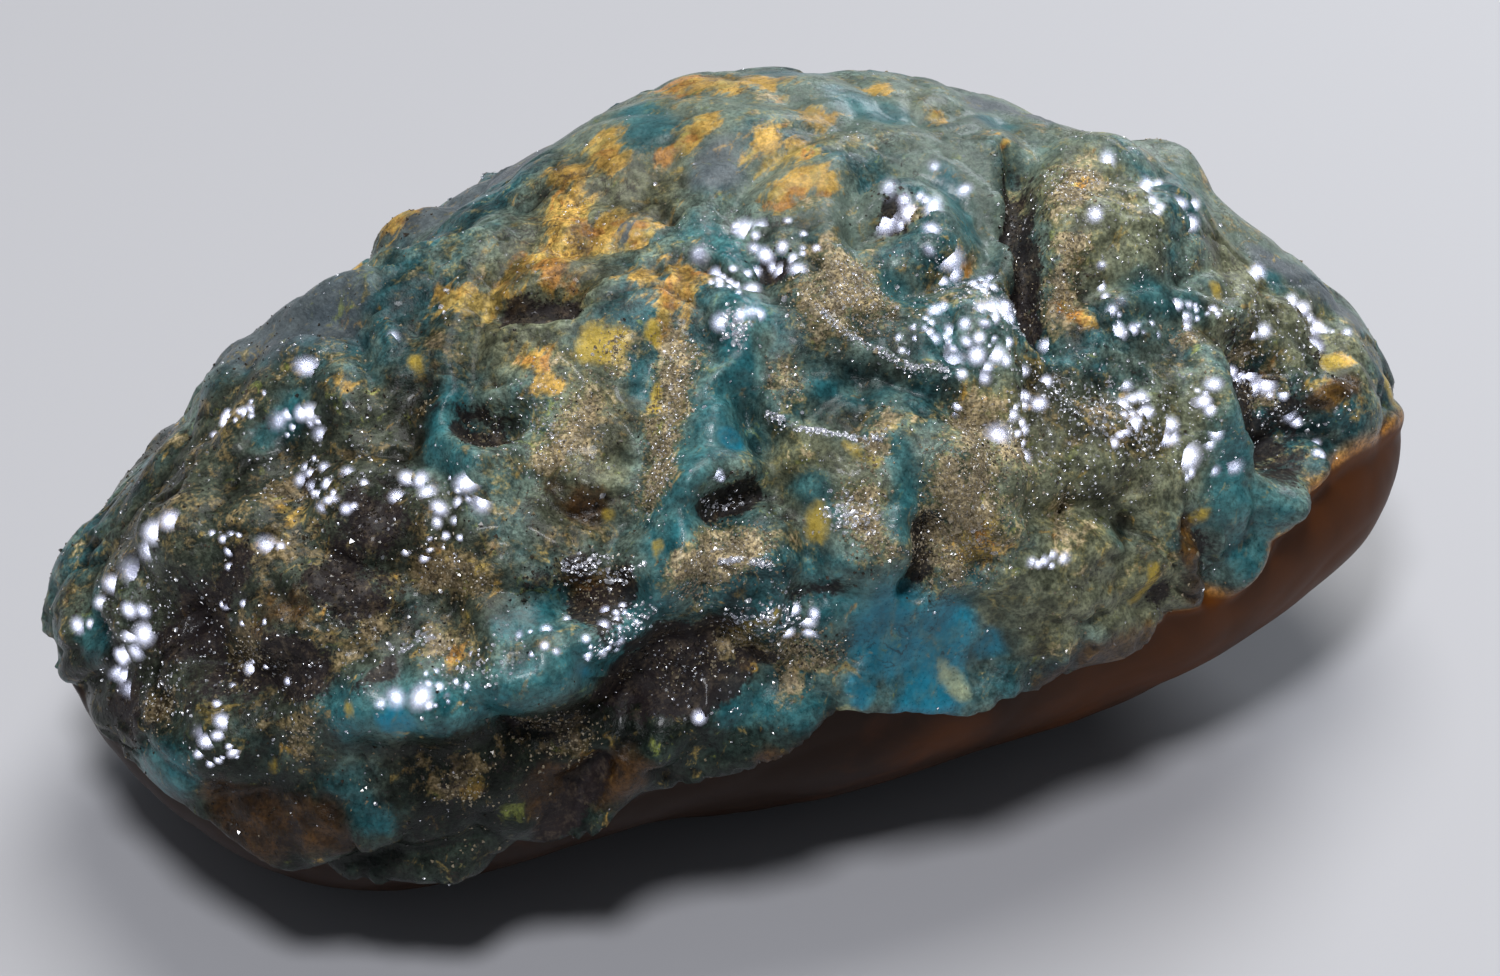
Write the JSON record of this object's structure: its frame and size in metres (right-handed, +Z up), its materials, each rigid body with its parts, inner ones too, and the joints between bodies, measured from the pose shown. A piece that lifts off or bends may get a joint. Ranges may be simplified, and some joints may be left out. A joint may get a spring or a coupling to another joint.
{
  "type": "rough blue amber nugget",
  "caption": "Rough nugget of blue amber with sandy matrix crust and a smooth underside, lying on its flattest side.",
  "frame": {"origin": "on the surface that the nugget rests on, under the middle of its bounding box", "axes": "+X along the nugget's long axis towards its slimmer end, -Y its front, +Z up from its resting face"},
  "size_m": [0.0618, 0.039, 0.0283],
  "materials": {
    "wet_amber": "gloss",
    "matrix_sand": "satin"
  },
  "bodies": {
    "root": {"amber_nugget": "wet_amber"}
  },
  "joints": []
}
